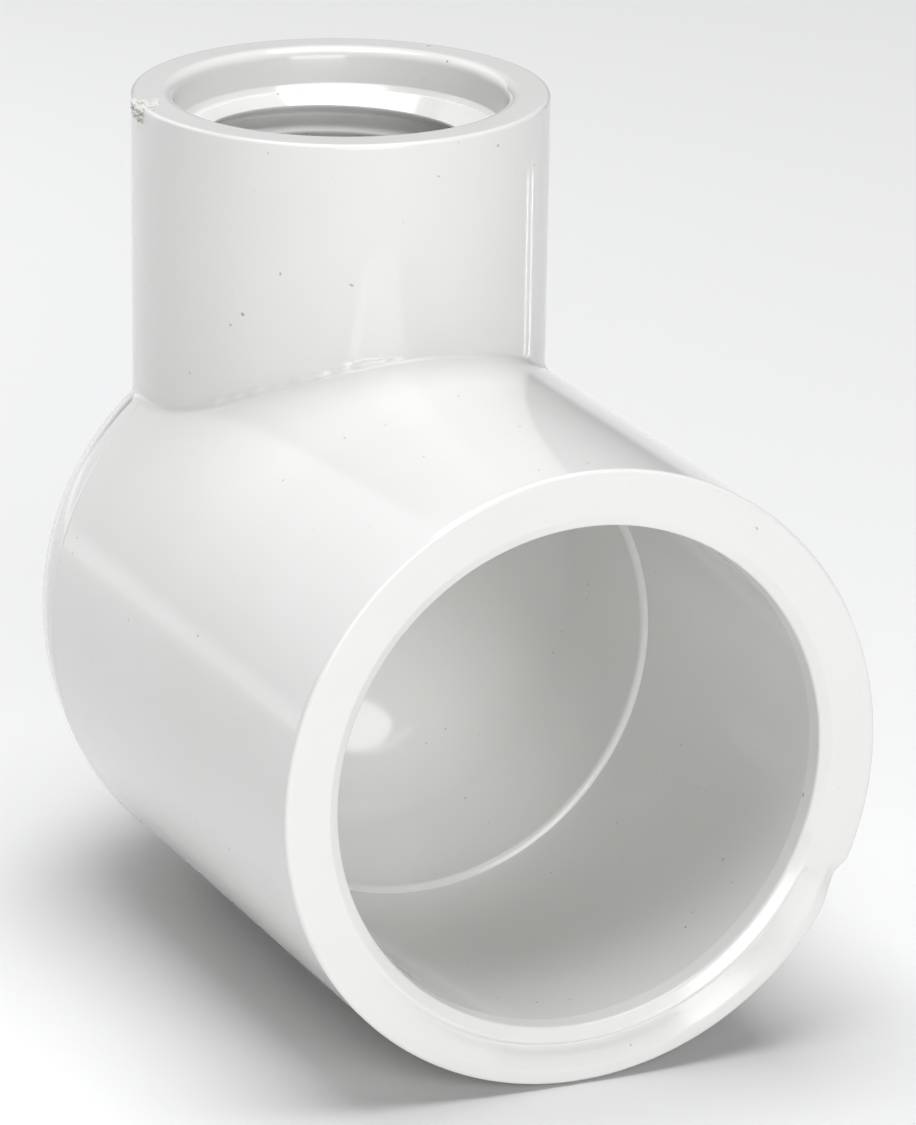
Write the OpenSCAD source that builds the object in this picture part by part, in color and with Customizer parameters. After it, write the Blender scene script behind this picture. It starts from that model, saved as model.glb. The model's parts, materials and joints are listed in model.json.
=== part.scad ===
// Reducing pipe elbow, moulded in one piece: a round slip socket meets a smaller
// threaded branch at a right angle, over a rounded heel.
// The origin is where a pipe's end seats: the centre of the pipe stop, on the socket's axis.
// +Z runs up along the branch, and -Y runs out of the socket's mouth.

/* [Run socket] */
// Outer radius of the run hub at its mouth
run_r = 20.7; // [19.5:0.05:22]
// Outer radius of the run hub where the heel starts
run_r_heel = 20.6; // [19.4:0.05:22]
// Radius of the socket that the pipe is cemented into
socket_r = 16.75; // [16.7:0.01:16.85]
// Depth of the socket, from the mouth's face to the pipe stop
socket_depth = 26; // [22:0.5:30]
// Width and depth of the bevel that leads the pipe into the socket
lead_in = 0.9; // [0.4:0.1:1.5]

/* [Waterway and heel] */
// Radius of the waterway behind the pipe stop
waterway_r = 16.3; // [15:0.05:16.5]
// How far the middle of the waterway's ball end lies in front of the branch's axis
waterway_set_in = 3; // [0:0.1:5]
// Distance from the pipe stop to the branch's axis
stop_to_branch = 14.35; // [14.2:0.05:16]
// Outer radius of the rounded heel
heel_r = 20.4; // [20:0.05:21]
// How far the heel's centre lies in front of the branch's axis
heel_set_in = 0.8; // [0:0.1:1.5]
// How far the heel's centre lies below the run's axis
heel_drop = 0.5; // [0:0.1:0.8]

/* [Branch] */
// Height of the branch's rim above the run's axis
branch_h = 35.5; // [33:0.1:40]
// Outer radius of the branch at its rim
branch_r = 14.05; // [13.2:0.05:14.5]
// Outer radius of the branch at the height of the run's axis
branch_r_foot = 13.9; // [13:0.05:14.4]
// Radius of the plain recess above the thread
recess_r = 11.3; // [10.9:0.05:12]
// Depth of the recess
recess_depth = 2.4; // [1.5:0.1:3.5]
// Width of the bevel round the recess's mouth
rim_bevel = 0.7; // [0.3:0.1:1]
// Outer radius of the thread's ring, at the thread's roots
thread_root_r = 10.6; // [10.4:0.05:10.8]
// Radius of the hole through the thread, at the thread's crests
thread_crest_r = 9.13; // [8.9:0.01:9.3]
// Radius of the passage from the thread down to the waterway
passage_r = 8.6; // [7.5:0.05:8.9]

/* [Trimmed mouth] */
// Depth of the shallow groove left in the mouth's face where a gate was trimmed off
groove_depth = 0.5; // [0.1:0.05:0.8]
// Radius of the groove's steep inner wall
groove_r = 18.05; // [17.9:0.05:18.5]
// Width of the groove, from its inner wall out to where it runs out
groove_w = 1.65; // [1:0.05:2]
// Angle where the groove starts, from +X towards -Z
groove_from = 26; // [0:1:60]
// Angle that the groove covers
groove_sweep = 125; // [60:1:150]
// Width of the nick in the rim's outer edge, at the groove's start
nick_w = 1.2; // [0.5:0.1:2]
// Depth of the nick at the rim's outer edge
nick_depth = 0.8; // [0.2:0.1:1.2]
// Angle that the nick covers
nick_sweep = 10; // [3:1:15]

/* [Gate stub] */
// Length of the gate stub along the rim
stub_length = 2.6; // [1.5:0.1:4]
// How far the stub stands out from the branch
stub_out = 0.8; // [0.3:0.1:1.5]
// Height of the stub
stub_h = 1.3; // [0.8:0.1:2]
// Angle of the stub round the branch, from +X towards +Y
stub_angle = 174; // [150:1:210]

/* [Hidden] */
$fn = 96;
// clearance by which a cutter runs past the face that it cuts
past = 1;
// height of the flat joint between the body and the branch hub
branch_joint_z = run_r + 0.3;
thread_top_z = branch_h - recess_depth;
// middle of the ball that ends the waterway
waterway_end_y = stop_to_branch - waterway_set_in;
// outer radius of the branch at the joint, on its straight draft
branch_r_joint = branch_r_foot + (branch_r - branch_r_foot) * branch_joint_z / branch_h;
// outer radius of the run hub at the pipe stop, on its straight draft
run_r_stop = run_r_heel
    + (run_r - run_r_heel) * stop_to_branch / (stop_to_branch + socket_depth);
shell = "whitesmoke";

// a cylinder or cone along +Y, from y0 to y1
module along_y(y0, y1, r0, r1) {
    translate([0, y0, 0])
        rotate([-90, 0, 0])
            cylinder(h = y1 - y0, r1 = r0, r2 = r1);
}

// a cutter of this profile, swept round the mouth's face by an angle from +X towards -Z;
// the profile's first axis is the radius, and its second one points out of the mouth
module along_mouth(from, sweep, profile) {
    translate([0, -socket_depth, 0])
        rotate([90, 0, 0])
            mirror([0, 1, 0])
                rotate([0, 0, from])
                    rotate_extrude(angle = sweep)
                        polygon(profile);
}

// the marks left where the moulding's gate was trimmed off the mouth
module gate_trim() {
    along_mouth(groove_from, groove_sweep, [
        [groove_r, past],
        [groove_r, 0],
        [groove_r + 0.1, -groove_depth],
        [groove_r + groove_w, 0],
        [groove_r + groove_w, past]
    ]);
    along_mouth(groove_from - nick_sweep / 4, nick_sweep, [
        [run_r - nick_w, past],
        [run_r - nick_w, 0],
        [run_r, -nick_depth],
        [run_r + past, -nick_depth],
        [run_r + past, past]
    ]);
}

module run_hub() {
    color(shell)
        difference() {
            along_y(-socket_depth, 0, run_r, run_r_stop);
            along_y(-socket_depth - past, past, socket_r, socket_r);
            along_y(-socket_depth, -socket_depth + lead_in, socket_r + lead_in, socket_r);
            gate_trim();
        }
}

module elbow_body() {
    color(shell)
        difference() {
            union() {
                along_y(0, stop_to_branch, run_r_stop, run_r_heel);
                translate([0, stop_to_branch, 0])
                    cylinder(h = branch_joint_z, r1 = branch_r_foot, r2 = branch_r_joint);
                heel();
            }
            along_y(-past, waterway_end_y, waterway_r, waterway_r);
            translate([0, waterway_end_y, 0])
                sphere(r = waterway_r);
            translate([0, stop_to_branch, 0])
                cylinder(h = branch_h, r = passage_r);
        }
}

// the rounded back of the elbow, from the branch's axis rearwards
module heel() {
    intersection() {
        translate([0, stop_to_branch - heel_set_in, -heel_drop])
            sphere(r = heel_r);
        translate([-2 * run_r, stop_to_branch, -2 * run_r])
            cube(4 * run_r);
    }
}

module branch_hub() {
    color(shell)
        translate([0, stop_to_branch, 0])
            difference() {
                translate([0, 0, branch_joint_z])
                    cylinder(h = branch_h - branch_joint_z, r1 = branch_r_joint, r2 = branch_r);
                translate([0, 0, branch_joint_z - past])
                    cylinder(h = branch_h, r = thread_root_r);
                translate([0, 0, thread_top_z])
                    cylinder(h = branch_h, r = recess_r);
                translate([0, 0, branch_h - rim_bevel])
                    cylinder(h = rim_bevel, r1 = recess_r, r2 = recess_r + rim_bevel);
            }
}

// the ring that holds the pipe thread, with its plain hole at the crests
module branch_thread() {
    color(shell)
        translate([0, stop_to_branch, branch_joint_z])
            difference() {
                cylinder(h = thread_top_z - branch_joint_z, r = thread_root_r);
                translate([0, 0, -past])
                    cylinder(h = branch_h, r = thread_crest_r);
            }
}

// the torn remnant of the moulding's gate, on the outside of the branch's rim
module gate_stub() {
    color(shell)
        translate([0, stop_to_branch, 0])
            difference() {
                rotate([0, 0, stub_angle])
                    translate([branch_r - past, -stub_length / 2, branch_h - stub_h])
                        cube([stub_out + past, stub_length, stub_h]);
                cylinder(h = branch_h + past, r1 = branch_r_foot, r2 = branch_r + 0.01);
            }
}

run_hub();
elbow_body();
branch_hub();
branch_thread();
gate_stub();
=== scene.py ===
"""A white moulded reducing pipe elbow on a pale studio floor.

Shapes are worked out in millimetres, in the frame's own axes, and become metres when a mesh is made.
The elbow is one moulding; each of its regions is a piece that meets the next one face to face.
"""

import json
import math

import bmesh
import bpy
import numpy as np
from mathutils import Matrix, Vector, noise


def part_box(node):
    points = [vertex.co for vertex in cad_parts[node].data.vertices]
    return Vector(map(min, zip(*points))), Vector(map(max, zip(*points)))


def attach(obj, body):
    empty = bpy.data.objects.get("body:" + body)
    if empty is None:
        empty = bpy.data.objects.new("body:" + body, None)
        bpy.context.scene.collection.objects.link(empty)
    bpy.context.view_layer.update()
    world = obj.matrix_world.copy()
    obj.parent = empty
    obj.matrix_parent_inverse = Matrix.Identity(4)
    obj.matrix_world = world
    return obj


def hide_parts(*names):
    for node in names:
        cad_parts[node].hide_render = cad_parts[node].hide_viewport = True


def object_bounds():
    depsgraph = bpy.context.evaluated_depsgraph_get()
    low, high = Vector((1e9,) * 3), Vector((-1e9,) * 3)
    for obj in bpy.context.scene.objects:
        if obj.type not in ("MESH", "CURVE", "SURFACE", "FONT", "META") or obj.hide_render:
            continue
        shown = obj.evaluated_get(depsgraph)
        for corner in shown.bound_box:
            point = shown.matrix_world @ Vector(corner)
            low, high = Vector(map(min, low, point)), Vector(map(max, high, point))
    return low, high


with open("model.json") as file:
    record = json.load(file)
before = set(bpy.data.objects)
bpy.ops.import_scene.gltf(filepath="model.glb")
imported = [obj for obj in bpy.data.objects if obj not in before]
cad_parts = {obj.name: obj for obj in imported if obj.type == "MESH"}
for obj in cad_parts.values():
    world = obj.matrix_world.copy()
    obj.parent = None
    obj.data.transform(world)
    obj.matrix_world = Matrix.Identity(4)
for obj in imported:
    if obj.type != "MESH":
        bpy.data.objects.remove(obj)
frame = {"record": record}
cad_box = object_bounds()

MM = 0.001
TURN = 2 * math.pi
# edges that turn by more than this stay sharp when shaded
SHARP = math.radians(34)
# the furthest that two points of a swept profile lie apart
SPACING = 1.2

# ---------------------------------------------------------------- sizes from the frame, in mm


def node_box(node):
    low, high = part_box(node)
    return np.array(low) / MM, np.array(high) / MM


mounts = {m["name"]: m for m in frame["record"]["mounts"]}
run_low, run_high = node_box("run_hub")
body_low, body_high = node_box("elbow_body")
branch_low, branch_high = node_box("branch_hub")
_, thread_high = node_box("branch_thread")
stub_low, stub_high = node_box("gate_stub")

MOUTH_Y = run_low[1]
STOP_Y = run_high[1]
BRANCH_Y = mounts["branch_thread"]["pos_m"][1] / MM
SOCKET_R = mounts["run_socket"]["dims"]["r_mm"]
CREST_R = mounts["branch_thread"]["dims"]["r_mm"]
ROOT_R = thread_high[0]
THREAD_TOP = thread_high[2]
JOINT_Z = branch_low[2]
RIM_Z = branch_high[2]
RUN_R = run_high[0]
BRANCH_R = branch_high[0]

# drafts: how much narrower a hub is where it meets the body than at its mouth
RUN_DRAFT = 0.1
BRANCH_DRAFT = 0.15

# heel: a ball set a little forward of the branch's axis and a little low
HEEL_R = 20.4
HEEL_Y = body_high[1] - HEEL_R
HEEL_Z = body_low[2] + HEEL_R

WATERWAY_R = 16.3
# middle of the ball that ends the waterway, in front of the branch's axis
WATERWAY_END_Y = BRANCH_Y - 3
PASSAGE_R = 8.6


def run_radius(y):
    """Outer radius of the run hub, on its straight draft."""
    return RUN_R - RUN_DRAFT * (y - MOUTH_Y) / (BRANCH_Y - MOUTH_Y)


def branch_radius(z):
    """Outer radius of the branch, on its straight draft."""
    return BRANCH_R - BRANCH_DRAFT * (RIM_Z - z) / RIM_Z


def smoothstep(x):
    x = np.clip(x, 0, 1)
    return x * x * (3 - 2 * x)


# ---------------------------------------------------------------- meshes


def make_piece(name, vertices, faces, node, normals=None):
    """A closed, smooth-shaded piece from vertices in mm, standing for one CAD node."""
    mesh = bpy.data.meshes.new(name)
    mesh.from_pydata(np.asarray(vertices, float) * MM, [], np.asarray(faces, dtype=object).tolist())
    mesh.validate()
    if normals is None:
        bm = bmesh.new()
        bm.from_mesh(mesh)
        bmesh.ops.recalc_face_normals(bm, faces=bm.faces)
        bm.to_mesh(mesh)
        bm.free()
        mesh.shade_smooth()
        mesh.set_sharp_from_angle(angle=SHARP)
    else:
        mesh.shade_smooth()
        mesh.normals_split_custom_set(normals)
    piece = bpy.data.objects.new(name, mesh)
    bpy.context.scene.collection.objects.link(piece)
    piece.data.materials.append(moulded_pvc)
    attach(piece, "root")
    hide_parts(node)
    return piece


def grid_faces(columns, rows, open_columns=False):
    """Quads of a grid whose rows close on themselves; a point's number is column * rows + row."""
    c, r = np.meshgrid(np.arange(columns - open_columns), np.arange(rows), indexing="ij")
    c2, r2 = (c + 1) % columns, (r + 1) % rows
    return np.stack([c * rows + r, c2 * rows + r, c2 * rows + r2, c * rows + r2], -1).reshape(-1, 4)


def corner(points, i, radius, steps):
    """The arc of this radius that replaces corner i of a profile, as points."""
    p = np.array(points[i], float)
    a = np.array(points[i - 1], float) - p
    b = np.array(points[(i + 1) % len(points)], float) - p
    a /= np.linalg.norm(a)
    b /= np.linalg.norm(b)
    half = math.acos(np.clip(a @ b, -1, 1)) / 2
    middle = (a + b) / np.linalg.norm(a + b)
    centre = p + middle * radius / math.sin(half)
    start = p + a * radius / math.tan(half) - centre
    end = p + b * radius / math.tan(half) - centre
    turn = math.atan2(start[0] * end[1] - start[1] * end[0], start @ end)
    arc = []
    for t in np.linspace(0, turn, steps + 1):
        c, s = math.cos(t), math.sin(t)
        arc.append((centre[0] + c * start[0] - s * start[1], centre[1] + s * start[0] + c * start[1]))
    return arc


# straight steps in a rounded corner, and how far beside a corner its extra point lies
ARC_STEPS = 6
CORNER_GAP = 0.08


def outline(corners, spacing):
    """A closed profile from corners (r, height, rounding radius), with points no further apart than spacing.

    Beside each corner there is one point close to it, which keeps flat faces flat when shaded."""
    plain = [c[:2] for c in corners]
    arcs = []
    for i, (r, h, rounding) in enumerate(corners):
        arcs.append(corner(plain, i, rounding, ARC_STEPS) if rounding else [(r, h)])
    points = []
    for i, arc in enumerate(arcs):
        points += arc
        start, end = np.array(arc[-1]), np.array(arcs[(i + 1) % len(arcs)][0])
        length = np.linalg.norm(end - start)
        if length < 1e-6:
            points.pop()
            continue
        near = min(CORNER_GAP, length / 4)
        count = max(1, math.ceil((length - 2 * near) / spacing))
        for t in np.linspace(near, length - near, count + 1):
            points.append(tuple(start + (end - start) * t / length))
    return np.array(points)


# ---------------------------------------------------------------- material


def build_pvc(name, dark, light, roughness, relief):
    """White rigid PVC with faint flow marks, a fine skin and a few dark specks.

    The colour drifts between dark and light, and the roughness between its two values."""
    material = bpy.data.materials.new(name)
    material.use_nodes = True
    tree = material.node_tree
    tree.nodes.clear()

    def add(kind, **inputs):
        node = tree.nodes.new(kind)
        for key, value in inputs.items():
            node.inputs[key.replace("_", " ")].default_value = value
        return node

    out = add("ShaderNodeOutputMaterial")
    shader = add("ShaderNodeBsdfPrincipled", IOR=1.53)
    tree.links.new(shader.outputs["BSDF"], out.inputs["Surface"])
    place = tree.nodes.new("ShaderNodeTexCoord").outputs["Object"]

    # broad, very faint colour drift from the flow of the melt
    drift = add("ShaderNodeTexNoise", Scale=60.0, Detail=2.0, Roughness=0.5)
    tree.links.new(place, drift.inputs["Vector"])
    tint = tree.nodes.new("ShaderNodeValToRGB")
    tint.color_ramp.elements[0].position = 0.3
    tint.color_ramp.elements[0].color = (*dark, 1)
    tint.color_ramp.elements[1].position = 0.7
    tint.color_ramp.elements[1].color = (*light, 1)
    tree.links.new(drift.outputs["Fac"], tint.inputs["Fac"])

    # sparse dark specks, a fifth of a millimetre across, each of its own darkness
    cells = add("ShaderNodeTexVoronoi", Scale=480.0, Randomness=1.0)
    bend = add("ShaderNodeTexNoise", Scale=2500.0, Detail=1.0)
    tree.links.new(place, bend.inputs["Vector"])
    bent = tree.nodes.new("ShaderNodeVectorMath")
    bent.operation = "MULTIPLY_ADD"
    tree.links.new(bend.outputs["Color"], bent.inputs[0])
    bent.inputs[1].default_value = (0.0004, 0.0004, 0.0004)
    tree.links.new(place, bent.inputs[2])
    tree.links.new(bent.outputs["Vector"], cells.inputs["Vector"])
    dot = tree.nodes.new("ShaderNodeMapRange")
    dot.inputs["From Min"].default_value = 0.055
    dot.inputs["From Max"].default_value = 0.035
    tree.links.new(cells.outputs["Distance"], dot.inputs["Value"])
    own = tree.nodes.new("ShaderNodeSeparateColor")
    tree.links.new(cells.outputs["Color"], own.inputs["Color"])
    darkness = tree.nodes.new("ShaderNodeMath")
    darkness.operation = "MULTIPLY"
    tree.links.new(dot.outputs["Result"], darkness.inputs[0])
    tree.links.new(own.outputs["Red"], darkness.inputs[1])
    mix = tree.nodes.new("ShaderNodeMix")
    mix.data_type = "RGBA"
    tree.links.new(darkness.outputs["Value"], mix.inputs["Factor"])
    tree.links.new(tint.outputs["Color"], mix.inputs["A"])
    mix.inputs["B"].default_value = (0.42, 0.4, 0.36, 1)
    tree.links.new(mix.outputs["Result"], shader.inputs["Base Color"])

    # gloss varies a little where the mould's polish does
    polish = add("ShaderNodeTexNoise", Scale=240.0, Detail=3.0, Roughness=0.55)
    tree.links.new(place, polish.inputs["Vector"])
    gloss = tree.nodes.new("ShaderNodeMapRange")
    gloss.inputs["From Min"].default_value = 0.3
    gloss.inputs["From Max"].default_value = 0.7
    gloss.inputs["To Min"].default_value = roughness[0]
    gloss.inputs["To Max"].default_value = roughness[1]
    tree.links.new(polish.outputs["Fac"], gloss.inputs["Value"])
    tree.links.new(gloss.outputs["Result"], shader.inputs["Roughness"])

    # a fine skin texture
    skin = add("ShaderNodeTexNoise", Scale=1500.0, Detail=3.0, Roughness=0.6)
    tree.links.new(place, skin.inputs["Vector"])
    bump = add("ShaderNodeBump", Strength=relief, Distance=0.0001)
    tree.links.new(skin.outputs["Fac"], bump.inputs["Height"])
    tree.links.new(bump.outputs["Normal"], shader.inputs["Normal"])
    return material


moulded_pvc = build_pvc("moulded_pvc", (0.8, 0.8, 0.782), (0.83, 0.83, 0.817), (0.07, 0.12), 0.025)
torn_pvc = build_pvc("torn_pvc", (0.6, 0.59, 0.55), (0.78, 0.78, 0.75), (0.5, 0.7), 0.6)

# ---------------------------------------------------------------- run hub

# rounding of the outer edge of both hubs' end faces
RIM_ROUNDING = 0.3
# the lead-in: its width at the mouth, and the steps by which it narrows to the socket
LEAD_IN = 0.9
LEAD_IN_STEP = (0.15, 0.45)
LEAD_IN_END = 1.6
HUB_TURNS = 240
# the groove where a gate was trimmed off: its inner wall's radius, its width and its wall's width
GROOVE_DEPTH = 0.5
GROOVE_R = 18.15
GROOVE_W = 1.65
GROOVE_WALL = 0.4
GROOVE_FROM = math.radians(26)
GROOVE_SWEEP = math.radians(142)
GROOVE_START = math.radians(3.5)
GROOVE_FADE = math.radians(85)
# the nick in the face's outer edge, at the groove's start
NICK_R = 19.5
NICK_BEFORE = math.radians(3.5)
NICK_SWEEP = math.radians(12)
NICK_DEPTH = 0.85
# how far behind the face the trimming still moves points
TRIM_REACH = 1.2


def gate_trim(turn, radius):
    """How far the mouth's face is cut back, by the angle from +X towards -Z and the radius."""
    along = turn - GROOVE_FROM
    starts = smoothstep(along / GROOVE_START)
    fades = smoothstep((GROOVE_SWEEP - along) / GROOVE_FADE)
    ramp = np.clip(1 - (radius - GROOVE_R) / GROOVE_W, 0, 1)
    wall = smoothstep((radius - GROOVE_R + GROOVE_WALL) / GROOVE_WALL)
    groove = GROOVE_DEPTH * starts * fades * ramp * wall
    nick_along = (along + NICK_BEFORE) / NICK_SWEEP
    nick = smoothstep(nick_along * 3) * smoothstep((1 - nick_along) * 1.5)
    nick = NICK_DEPTH * nick * np.clip((radius - NICK_R) / (RUN_R - NICK_R), 0, 1)
    return np.maximum(groove, nick)


def build_run_hub():
    """The slip socket's hub: one profile swept round the run's axis, with the gate trimmed off its face."""
    lip_r = SOCKET_R + LEAD_IN
    profile = outline([
        (run_radius(STOP_Y), STOP_Y, 0),
        (RUN_R, MOUTH_Y, RIM_ROUNDING),
        (lip_r, MOUTH_Y, 0.2),
        (SOCKET_R + LEAD_IN_STEP[0], MOUTH_Y + LEAD_IN_STEP[1], 0.3),
        (SOCKET_R, MOUTH_Y + LEAD_IN_END, 0.3),
        (SOCKET_R, STOP_Y, 0),
    ], SPACING)
    # more points across the face, where the gate was trimmed
    on_face = (np.abs(profile[:, 1] - MOUTH_Y) < 1e-6) & (profile[:, 0] > lip_r)
    keep = profile[~on_face]
    face_r = np.concatenate([
        profile[on_face, 0][[0]],
        np.linspace(RUN_R - 1.5 * RIM_ROUNDING, GROOVE_R + 0.1, 18),
        np.linspace(GROOVE_R + 0.03, GROOVE_R - GROOVE_WALL - 0.03, 8),
        profile[on_face, 0][[-1]],
    ])
    first = np.nonzero(on_face)[0][0]
    face = np.stack([face_r, np.full(len(face_r), MOUTH_Y)], 1)
    profile = np.concatenate([keep[:first], face, keep[first:]])
    even = np.linspace(0, TURN, HUB_TURNS, endpoint=False)
    by_nick = GROOVE_FROM - NICK_BEFORE + np.linspace(0, NICK_SWEEP, 25)
    turns = np.unique(np.round(np.concatenate([even, by_nick]), 6))
    turn, r = np.meshgrid(turns, profile[:, 0], indexing="ij")
    y = np.broadcast_to(profile[:, 1], r.shape)
    near_face = smoothstep((MOUTH_Y + TRIM_REACH - y) / TRIM_REACH)
    y = y + gate_trim(turn, r) * near_face * (r > lip_r - 0.01)
    points = np.stack([r * np.cos(turn), y, -r * np.sin(turn)], -1)
    faces = grid_faces(len(turns), len(profile))
    return make_piece("run_hub_moulding", points.reshape(-1, 3), faces, "run_hub")


# ---------------------------------------------------------------- branch hub and thread

RECESS_R = 11.3
RECESS_DRAFT = 0.35
# where the bevel below the recess reaches the thread's roots
BEVEL_END = THREAD_TOP - (RECESS_R - RECESS_DRAFT - ROOT_R)
# rounding of the recess's upper edge
RIM_BEVEL = 0.8
BRANCH_TURNS = 200
# 14 threads to the inch; the form is 0.8 of the pitch deep, and the taper is on the radius
PITCH = 25.4 / 14
THREAD_H = 0.8 * PITCH
THREAD_TAPER = 1 / 32
# half the width of a crest's flat
CREST_FLAT = 0.06
# depth of the first full crest below the rim, and the angle where it lies at that depth
FIRST_CREST = 3.6
FIRST_TURN = math.radians(66)
# where the mesh's one lap starts, and the angle over which the first crest swells
LAP_START = math.radians(-110)
THREAD_LEAD_IN = math.radians(60)
# height over which the last thread runs out, and the least wall left behind a root
RUN_OUT = 1.2 * PITCH
ROOT_WALL = 0.04
THREAD_TURNS = 221


def build_branch_hub():
    """The tube round the thread: one profile swept round the branch's axis."""
    profile = outline([
        (ROOT_R, JOINT_Z, 0),
        (ROOT_R, BEVEL_END, 0),
        (RECESS_R - RECESS_DRAFT, THREAD_TOP, 0.15),
        (RECESS_R, RIM_Z, RIM_BEVEL),
        (BRANCH_R, RIM_Z, RIM_ROUNDING),
        (branch_radius(JOINT_Z), JOINT_Z, 0),
    ], SPACING)
    turns = np.linspace(0, TURN, BRANCH_TURNS, endpoint=False)
    turn, r = np.meshgrid(turns, profile[:, 0], indexing="ij")
    z = np.broadcast_to(profile[:, 1], r.shape)
    points = np.stack([r * np.cos(turn), BRANCH_Y + r * np.sin(turn), z], -1)
    faces = grid_faces(len(turns), len(profile))
    return make_piece("branch_hub_moulding", points.reshape(-1, 3), faces, "branch_hub")


def lead_in_radius(crest, crest_z, z):
    """Radius of the slope from a crest up to the foot of the recess."""
    rise = (z - crest_z - CREST_FLAT) / (THREAD_TOP - crest_z)
    return crest + (RECESS_R - RECESS_DRAFT - crest) * np.clip(rise, 0, 1)


def thread_radius(turn, z):
    """Radius of the threaded wall: a 60 degree form with narrow flats, on the pipe thread's taper.

    The first crest starts at the end of the lap, where it swells out of the slope above the last one."""
    crest_z = RIM_Z - FIRST_CREST + PITCH * (turn - FIRST_TURN) / TURN
    crest = CREST_R + 0.1 - (THREAD_TOP - z) * THREAD_TAPER
    phase = (z - crest_z) / PITCH
    away = np.abs(phase - np.round(phase)) - CREST_FLAT / PITCH
    form = np.clip(away / (0.5 - 2 * CREST_FLAT / PITCH), 0, 1)
    form = form + 0.25 * (smoothstep(form) - form)
    full = np.minimum(crest + THREAD_H * form, ROOT_R)
    full = np.where(phase > 0, lead_in_radius(crest, crest_z, z), full)
    swell = smoothstep((LAP_START + TURN - turn) / THREAD_LEAD_IN)
    before = lead_in_radius(crest, crest_z - PITCH, z)
    full = np.where(phase > -1, before + (full - before) * swell, full)
    runs_out = smoothstep((z - JOINT_Z) / RUN_OUT)
    return np.minimum(crest + (full - crest) * runs_out, ROOT_R - ROOT_WALL)


def build_branch_thread():
    """The pipe thread: its wall's rows follow the helix, so that the crest is one clean line."""
    steps = np.linspace(-0.5, 0.5, 18, endpoint=False)
    # extra rows beside the flats of the crest and of the root, in parts of the pitch
    steps = np.unique(np.round(np.concatenate([steps, [-0.035, 0.035, -0.47, 0.47]]), 4))
    # laps enough to run past both ends of the ring, where the rows are clipped
    laps = math.ceil((BEVEL_END - JOINT_Z) / PITCH) + 3
    rows = np.concatenate([steps - n for n in range(-2, laps)])
    rows = np.sort(rows)[::-1]
    turns = np.linspace(LAP_START, LAP_START + TURN, THREAD_TURNS)
    turn, row = np.meshgrid(turns, rows, indexing="ij")
    z = RIM_Z - FIRST_CREST + PITCH * (row + (turn - FIRST_TURN) / TURN)
    z = np.clip(z, JOINT_Z, BEVEL_END)
    r = thread_radius(turn, z)
    ends = np.broadcast_to([JOINT_Z, BEVEL_END], (len(turns), 2))
    z = np.concatenate([z, ends], 1)
    r = np.concatenate([r, np.full((len(turns), 2), ROOT_R)], 1)
    turn = np.broadcast_to(turns[:, None], r.shape)
    points = np.stack([r * np.cos(turn), BRANCH_Y + r * np.sin(turn), z], -1).reshape(-1, 3)
    faces = grid_faces(len(turns), r.shape[1], open_columns=True)
    return make_piece("branch_thread_moulding", *welded(points, faces), "branch_thread")


def welded(points, faces, distance=1e-4):
    """The same surface with coincident points joined and collapsed faces left out."""
    keys = np.round(points / distance).astype(np.int64)
    _, first, number = np.unique(keys, axis=0, return_index=True, return_inverse=True)
    number = number.reshape(-1)
    kept = []
    for face in number[faces].tolist():
        loop = [v for i, v in enumerate(face) if v != face[i - 1]]
        if len(set(loop)) == len(loop) and len(loop) > 2:
            kept.append(loop)
    return points[first], kept


# ---------------------------------------------------------------- elbow body

# the mould's parting line, behind the branch's axis
SEAM_Y = BRANCH_Y + 0.7
SEAM_HEIGHT = 0.03
SEAM_WIDTH = 0.12
# the length over which the hub becomes the heel, at the bottom and at the top
HEEL_BLEND_LOW = 1.4
HEEL_BLEND_TOP = 6.5
# mean fillet between the run and the branch, and the witness line along it
FOOT_FILLET = 0.35
BEAD_FROM = math.radians(-154)
BEAD_SWEEP = math.radians(63)
BEAD_HEIGHT = 0.15
BEAD_WIDTH = 0.2
STOP_ROUNDING = 0.4
PASSAGE_FILLET = 0.6
# spacing of the grid that the body's skin is found on, and how far the grid reaches past the body
CELL = 0.37
MARGIN = 0.9
NEWTON_STEPS = 4


def round_union(a, b, radius):
    """Union of two distance fields with a fillet of this radius between them."""
    inner = np.hypot(np.maximum(radius - a, 0), np.maximum(radius - b, 0))
    return np.maximum(radius, np.minimum(a, b)) - inner


def foot_bead(shell, branch, turn, fillet):
    """A thin uneven witness line in the corner between run and branch, on the side of the mouth."""
    along = turn - BEAD_FROM
    part = smoothstep(along / 0.1) * smoothstep((BEAD_SWEEP - along) / 0.2)
    height = BEAD_HEIGHT + 0.03 * np.sin(23 * turn) + 0.03 * np.sin(61 * turn + 2)
    away = np.hypot(shell - fillet, branch - 0.5 * fillet)
    return height * part * np.exp(-(away / BEAD_WIDTH) ** 2)


def outside_field(x, y, z):
    """Distance from the body's outside: the run blends into the heel, and the branch stands on both."""
    run = np.hypot(x, z) - run_radius(y)
    heel = np.sqrt(x ** 2 + (y - HEEL_Y) ** 2 + (z - HEEL_Z) ** 2) - HEEL_R
    flash = SEAM_HEIGHT * np.exp(-((y - SEAM_Y) / SEAM_WIDTH) ** 2)
    blend = HEEL_BLEND_LOW + (HEEL_BLEND_TOP - HEEL_BLEND_LOW) * smoothstep((z / RUN_R + 0.8) / 1.4)
    shell = run + (heel - run) * smoothstep((y - BRANCH_Y) / blend) - flash
    turn = np.arctan2(y - BRANCH_Y, x)
    branch = np.maximum(np.hypot(x, y - BRANCH_Y) - branch_radius(z), -z)
    fillet = FOOT_FILLET * (1 + 0.12 * np.sin(5 * turn + 1) + 0.08 * np.sin(13 * turn))
    return round_union(shell, branch, fillet) - foot_bead(shell, branch, turn, fillet)


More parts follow.
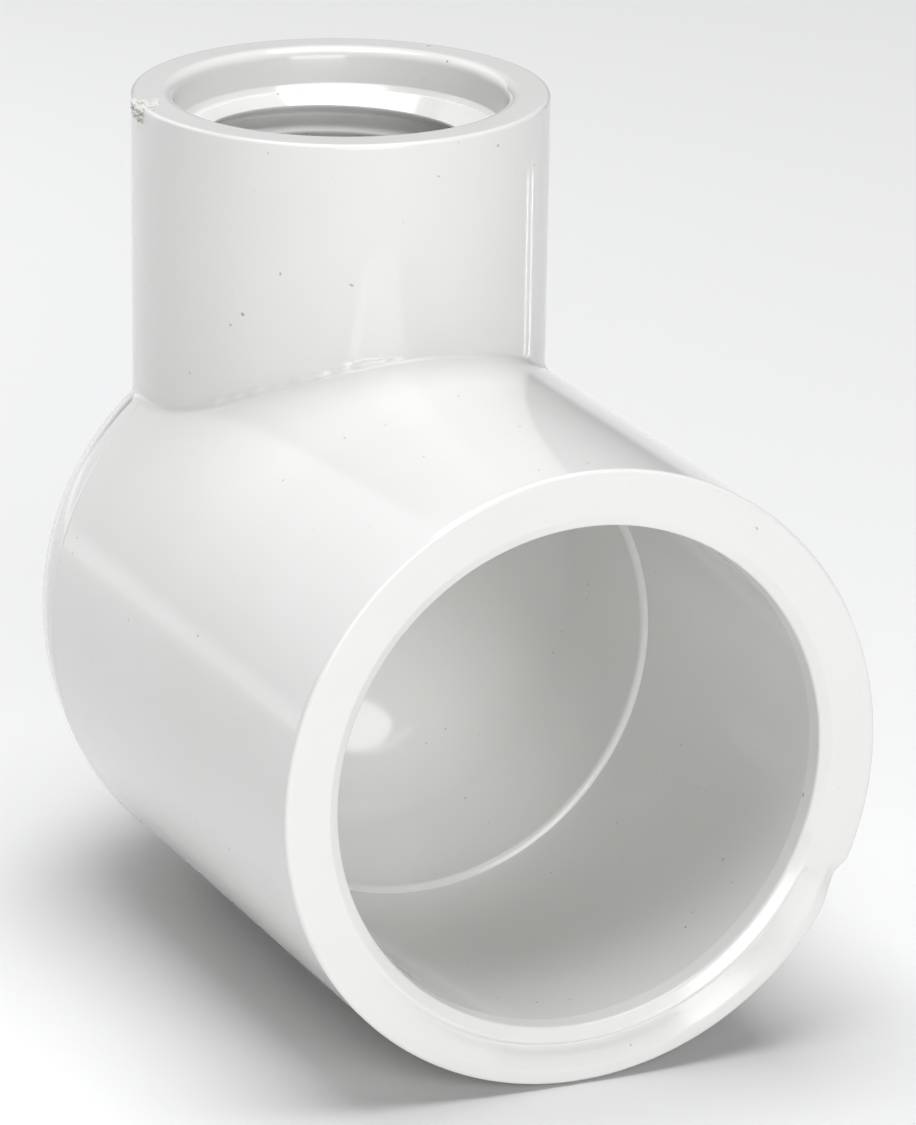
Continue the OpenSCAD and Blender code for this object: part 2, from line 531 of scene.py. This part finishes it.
def inside_field(x, y, z):
    """Distance from the waterway: a tube with a ball end, and the passage up to the thread."""
    before_flat = np.clip(STOP_ROUNDING - (y - STOP_Y), 0, STOP_ROUNDING)
    flare = STOP_ROUNDING - np.sqrt(STOP_ROUNDING ** 2 - before_flat ** 2)
    tube = np.sqrt(x ** 2 + z ** 2 + np.maximum(y - WATERWAY_END_Y, 0) ** 2) - WATERWAY_R - flare
    passage = np.maximum(np.hypot(x, y - BRANCH_Y) - PASSAGE_R, -z)
    return round_union(tube, passage, PASSAGE_FILLET)


def body_field(x, y, z):
    """Below zero inside the plastic."""
    return np.maximum(outside_field(x, y, z), -inside_field(x, y, z))


def gradient(field, points, h=0.02):
    """The field's slope at each point, by central differences."""
    slopes = []
    for axis in np.eye(3) * h:
        slopes.append((field(*(points + axis).T) - field(*(points - axis).T)) / (2 * h))
    return np.stack(slopes, -1)


def surface_net(field, xs, ys, zs):
    """The field's zero surface on a grid of these spacings: one point in each cell that it crosses."""
    axes = (xs, ys, zs)
    values = field(*np.meshgrid(*axes, indexing="ij"))
    inside = values < 0
    cells = tuple(n - 1 for n in inside.shape)
    corners = np.stack(np.meshgrid([0, 1], [0, 1], [0, 1], indexing="ij"), -1).reshape(-1, 3)

    def at(offset, array):
        return array[tuple(slice(o, o + n) for o, n in zip(offset, cells))]

    count = sum(at(c, inside).astype(np.int8) for c in corners)
    active = np.argwhere((count > 0) & (count < 8))
    number = np.full(cells, -1)
    number[tuple(active.T)] = np.arange(len(active))
    total = np.zeros((len(active), 3))
    crossings = np.zeros(len(active))
    for a in corners:
        for step in np.eye(3, dtype=int):
            b = a + step
            if b.max() > 1:
                continue
            ia, ib = (active + a).T, (active + b).T
            fa, fb = values[tuple(ia)], values[tuple(ib)]
            cut = (fa < 0) != (fb < 0)
            t = fa[cut] / (fa[cut] - fb[cut])
            pa = np.stack([ax[i[cut]] for ax, i in zip(axes, ia)], -1)
            pb = np.stack([ax[i[cut]] for ax, i in zip(axes, ib)], -1)
            total[cut] += pa + (pb - pa) * t[:, None]
            crossings[cut] += 1
    faces = []
    for axis in range(3):
        u, v = (axis + 1) % 3, (axis + 2) % 3
        low = tuple(slice(0, -1) if i == axis else slice(1, -1) for i in range(3))
        high = tuple(slice(1, None) if i == axis else slice(1, -1) for i in range(3))
        flips = np.argwhere(inside[low] != inside[high])
        cell = flips.copy()
        cell[:, u] += 1
        cell[:, v] += 1
        du, dv = np.eye(3, dtype=int)[u], np.eye(3, dtype=int)[v]
        quad = np.stack([
            number[tuple((cell - du - dv).T)],
            number[tuple((cell - dv).T)],
            number[tuple(cell.T)],
            number[tuple((cell - du).T)],
        ], -1)
        outward = inside[tuple(cell.T)]
        faces.append(np.where(outward[:, None], quad, quad[:, ::-1]))
    return total / crossings[:, None], np.concatenate(faces)


def spaced(low, high, *closer):
    """Grid lines from low to high, closer together where (from, to, spacing) says."""
    lines = np.arange(low, high, CELL)
    for start, end, spacing in closer:
        lines = lines[(lines < start - spacing) | (lines > end + spacing)]
        lines = np.concatenate([lines, np.arange(start, end + spacing / 2, spacing)])
    return np.sort(lines)


# how near a plane a point counts as lying on it
ON_PLANE = 1e-4


def cut_flat(bm, place, normal, radii):
    """Cuts the mesh off at a plane across a tube, sets the cut's rims to these radii and closes it."""
    place, normal = Vector(place), Vector(normal)
    everything = bm.verts[:] + bm.edges[:] + bm.faces[:]
    bmesh.ops.bisect_plane(bm, geom=everything, dist=1e-6, plane_co=place, plane_no=normal, clear_outer=True)
    rims = [e for e in bm.edges
            if e.is_boundary and all(abs((v.co - place) @ normal) < ON_PLANE for v in e.verts)]
    for v in {v for e in rims for v in e.verts}:
        across = v.co - place
        across -= normal * (across @ normal)
        radius = min(radii, key=lambda r: abs(r - across.length))
        v.co = place + across * radius / across.length
    bmesh.ops.triangle_fill(bm, use_beauty=True, use_dissolve=False, edges=rims, normal=normal)


def build_elbow_body():
    """The body behind the pipe stop, with the heel and the foot of the branch, as one skin."""
    xs = spaced(-RUN_R - MARGIN, RUN_R + MARGIN)
    by_stop = (STOP_Y - 0.2, STOP_Y + 2 * STOP_ROUNDING, 0.09)
    by_seam = (SEAM_Y - 0.4, SEAM_Y + 0.4, 0.1)
    ys = spaced(STOP_Y - MARGIN, body_high[1] + MARGIN, by_stop, by_seam)
    by_foot = (math.sqrt(RUN_R ** 2 - BRANCH_R ** 2) - 0.5, RUN_R + 0.8, 0.2)
    zs = spaced(body_low[2] - MARGIN, JOINT_Z + MARGIN, by_foot)
    points, faces = surface_net(body_field, xs, ys, zs)
    # each point is drawn onto the true surface by a few of Newton's steps
    for _ in range(NEWTON_STEPS):
        slope = gradient(body_field, points)
        level = body_field(*points.T)
        points -= slope * (level / np.maximum((slope ** 2).sum(1), 0.1))[:, None]
    bm = bmesh.new()
    for p in points:
        bm.verts.new(p)
    bm.verts.ensure_lookup_table()
    for face in faces.tolist():
        bm.faces.new([bm.verts[i] for i in face])
    cut_flat(bm, (0, STOP_Y, 0), (0, -1, 0), (run_radius(STOP_Y), WATERWAY_R + STOP_ROUNDING))
    cut_flat(bm, (0, BRANCH_Y, JOINT_Z), (0, 0, 1), (branch_radius(JOINT_Z), PASSAGE_R))
    loose = [v for v in bm.verts if not v.link_faces]
    bmesh.ops.delete(bm, geom=loose, context="VERTS")
    bm.verts.index_update()
    points = np.array([v.co for v in bm.verts])
    faces = [[v.index for v in f.verts] for f in bm.faces]
    bm.free()
    # the shading follows the field itself, and the two cut faces are shaded flat
    normals = gradient(body_field, points)
    normals /= np.linalg.norm(normals, axis=1)[:, None]
    corners = np.array([i for f in faces for i in f])
    owner = np.repeat(np.arange(len(faces)), [len(f) for f in faces])
    corner_normals = normals[corners]
    for axis, level, flat in ((1, STOP_Y, (0, -1, 0)), (2, JOINT_Z, (0, 0, 1))):
        off = np.abs(points[corners, axis] - level) > 1e-3
        cap = np.bincount(owner, weights=off) == 0
        corner_normals[cap[owner]] = flat
    return make_piece("elbow_body_moulding", points, faces, "elbow_body", normals=corner_normals)


# ---------------------------------------------------------------- gate stub

# half the flake's reach across the rim, and where its middle lies inside and above its own half height
FLAKE_REACH = 1.0
FLAKE_SET_IN = 0.62
FLAKE_RISE = 0.14


def build_gate_stub():
    """The torn remnant of the gate: a ragged flake that lies over the rim's outer edge."""
    place = (stub_low + stub_high) / 2
    azimuth = math.atan2(place[1] - BRANCH_Y, place[0])
    outward = np.array([math.cos(azimuth), math.sin(azimuth), 0])
    along = np.array([-math.sin(azimuth), math.cos(azimuth), 0])
    upward = np.array([0, 0, 1])
    half = np.array([FLAKE_REACH, (stub_high[1] - stub_low[1]) / 2, (stub_high[2] - stub_low[2]) / 2])
    middle = np.array([0, BRANCH_Y, RIM_Z])
    middle = middle + outward * (BRANCH_R - FLAKE_SET_IN) - upward * (half[2] - FLAKE_RISE)
    bm = bmesh.new()
    bmesh.ops.create_icosphere(bm, subdivisions=5, radius=1)
    for v in bm.verts:
        blocky = v.co.normalized()
        blocky = blocky / max(abs(c) for c in blocky) * 0.5 + blocky * 0.5
        ragged = 0.3 * noise.fractal(blocky * 2.1 + Vector((3, 1, 7)), 0.6, 2.2, 5)
        v.co = blocky * (0.9 + ragged)
    local = np.array([v.co for v in bm.verts]) * half
    points = middle + local @ np.stack([outward, along, upward])
    faces = [[v.index for v in f.verts] for f in bm.faces]
    bm.free()
    piece = make_piece("gate_stub_flake", points, faces, "gate_stub")
    piece.data.materials[0] = torn_pvc
    return piece


# ---------------------------------------------------------------- stage, lights and camera

FLOOR_Z = cad_box[0][2] / MM
FLOOR_REACH = 3000
FLOOR_WHITE = (0.84, 0.84, 0.84, 1)
CENTRE = Vector((0, BRANCH_Y, 0))


def build_floor():
    """A wide, plain, pale floor under the elbow."""
    mesh = bpy.data.meshes.new("floor")
    corners = [Vector((x * FLOOR_REACH, y * FLOOR_REACH, FLOOR_Z)) * MM for x, y in
               ((-1, -1), (1, -1), (1, 1), (-1, 1))]
    mesh.from_pydata(corners, [], [(0, 1, 2, 3)])
    floor = bpy.data.objects.new("floor", mesh)
    bpy.context.scene.collection.objects.link(floor)
    material = bpy.data.materials.new("floor_white")
    material.use_nodes = True
    shader = material.node_tree.nodes["Principled BSDF"]
    shader.inputs["Base Color"].default_value = FLOOR_WHITE
    shader.inputs["Roughness"].default_value = 0.6
    mesh.materials.append(material)


def add_softbox(name, azimuth, elevation, distance, size, power, color=(1, 1, 1)):
    """A rectangular soft light that faces the elbow; its place is given by angles and mm."""
    a, e = math.radians(azimuth), math.radians(elevation)
    towards = Vector((math.cos(a) * math.cos(e), math.sin(a) * math.cos(e), math.sin(e)))
    light = bpy.data.lights.new(name, "AREA")
    light.shape = "RECTANGLE"
    light.size, light.size_y = size[0] * MM, size[1] * MM
    light.energy = power
    light.color = color
    lamp = bpy.data.objects.new(name, light)
    lamp.location = (CENTRE + towards * distance) * MM
    lamp.rotation_euler = towards.to_track_quat("Z", "Y").to_euler()
    lamp.visible_camera = False
    bpy.context.scene.collection.objects.link(lamp)


def build_lights():
    """Even studio light: a large box overhead, fills in front, a wall of light behind on the left."""
    world = bpy.data.worlds.new("studio")
    bpy.context.scene.world = world
    world.use_nodes = True
    background = world.node_tree.nodes["Background"]
    background.inputs["Color"].default_value = (1, 1, 1, 1)
    background.inputs["Strength"].default_value = 0.02
    add_softbox("overhead", 0, 89, 1400, (1165, 1165), 22, (0.985, 0.99, 1))
    add_softbox("front_fill", -97, 16, 600, (400, 290), 1.75)
    add_softbox("camera_fill", -130, 14, 600, (300, 260), 0.12)
    add_softbox("left_wall", 113, 25, 260, (190, 290), 0.19)
    # two thin upright strips that stand on the floor to the right, for the branch's double highlight
    for name, azimuth in (("strip_near", 7), ("strip_far", 13)):
        add_softbox(name, azimuth, -5, 110, (1.2, 24), 0.0007)


# angles in degrees, lengths in mm
VIEW_AZIMUTH = -24.19
VIEW_ELEVATION = 18.48
VIEW_ROLL = -0.76
VIEW_DISTANCE = 513.2
# the view's middle, to the right of the crossing of the elbow's axes and above it
VIEW_RIGHT = 8.28
VIEW_UP = 2.05
LENS = 240.1
SENSOR = 36


def build_camera():
    """A long-lens camera at the viewing angle."""
    a, e, roll = (math.radians(v) for v in (VIEW_AZIMUTH, VIEW_ELEVATION, VIEW_ROLL))
    back = Vector((math.sin(a) * math.cos(e), -math.cos(a) * math.cos(e), math.sin(e)))
    level = Vector((math.cos(a), math.sin(a), 0))
    upright = back.cross(level)
    right = level * math.cos(roll) - upright * math.sin(roll)
    up = level * math.sin(roll) + upright * math.cos(roll)
    data = bpy.data.cameras.new("camera")
    data.sensor_fit = "VERTICAL"
    data.sensor_height = SENSOR
    data.lens = LENS
    data.clip_start = 0.01
    data.clip_end = 100
    camera = bpy.data.objects.new("camera", data)
    place = (CENTRE + right * VIEW_RIGHT + up * VIEW_UP + back * VIEW_DISTANCE) * MM
    turned = Matrix((right, up, back)).transposed().to_4x4()
    camera.matrix_world = Matrix.Translation(place) @ turned
    bpy.context.scene.collection.objects.link(camera)
    bpy.context.scene.camera = camera


build_camera()
build_run_hub()
build_elbow_body()
build_branch_hub()
build_branch_thread()
build_gate_stub()
build_floor()
build_lights()
bpy.context.scene.view_settings.view_transform = "Standard"
